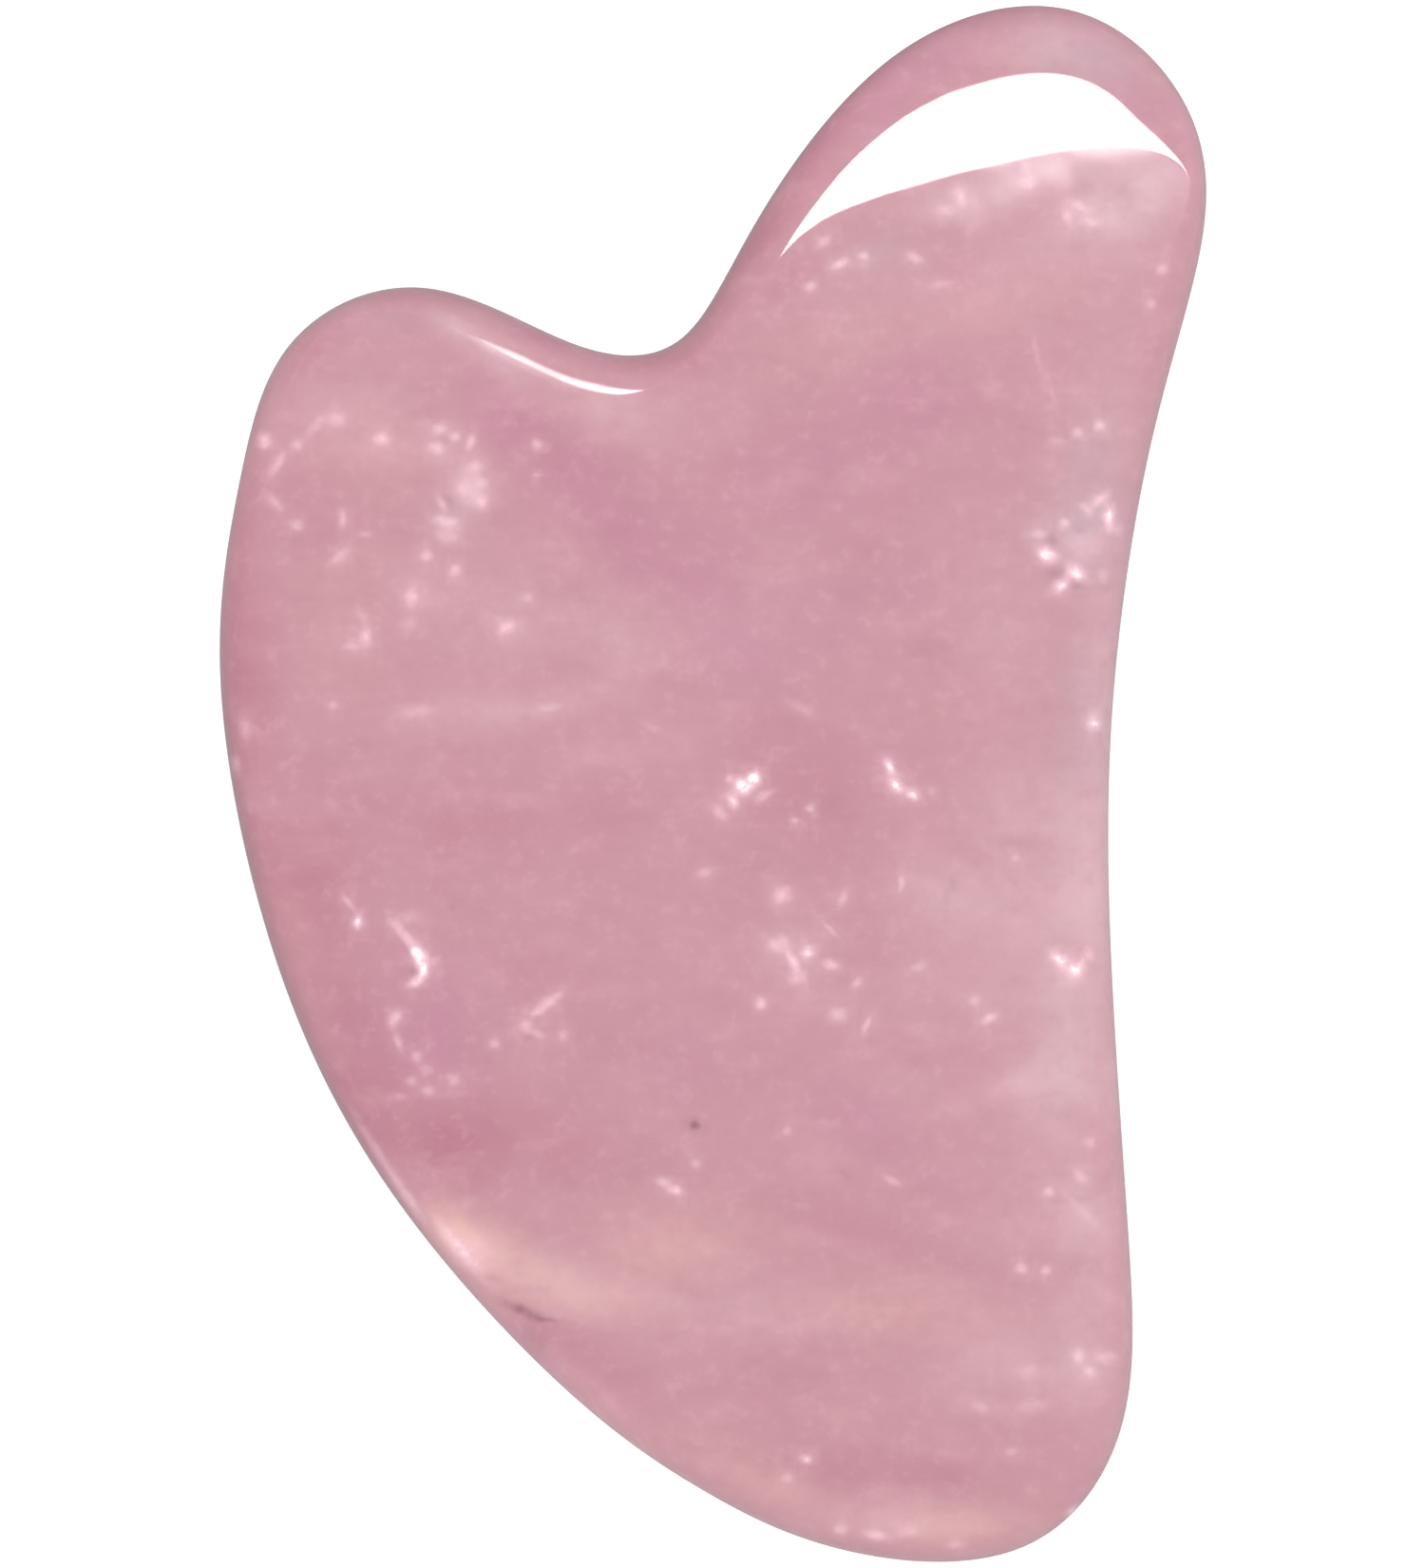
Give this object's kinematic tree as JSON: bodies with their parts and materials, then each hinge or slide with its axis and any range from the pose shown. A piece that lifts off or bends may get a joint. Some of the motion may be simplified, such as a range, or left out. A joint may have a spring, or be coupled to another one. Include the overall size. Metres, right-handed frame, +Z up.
{
  "type": "gua sha scraper",
  "caption": "Flat polished stone scraper with a heart-shaped notch between a tall lobe and a short lobe, a rounded belly and a long hollow side, for massage strokes over the skin.",
  "frame": {"origin": "on the back flat that the scraper lies on, under the middle of the outline's box", "axes": "+Z up through the thickness, +Y along the length towards the lobes, +X across towards the long hollow side"},
  "size_m": [0.0519, 0.0818, 0.006],
  "materials": {
    "rose_quartz": "polished"
  },
  "bodies": {
    "root": {"stone_blade": "rose_quartz"}
  },
  "joints": []
}
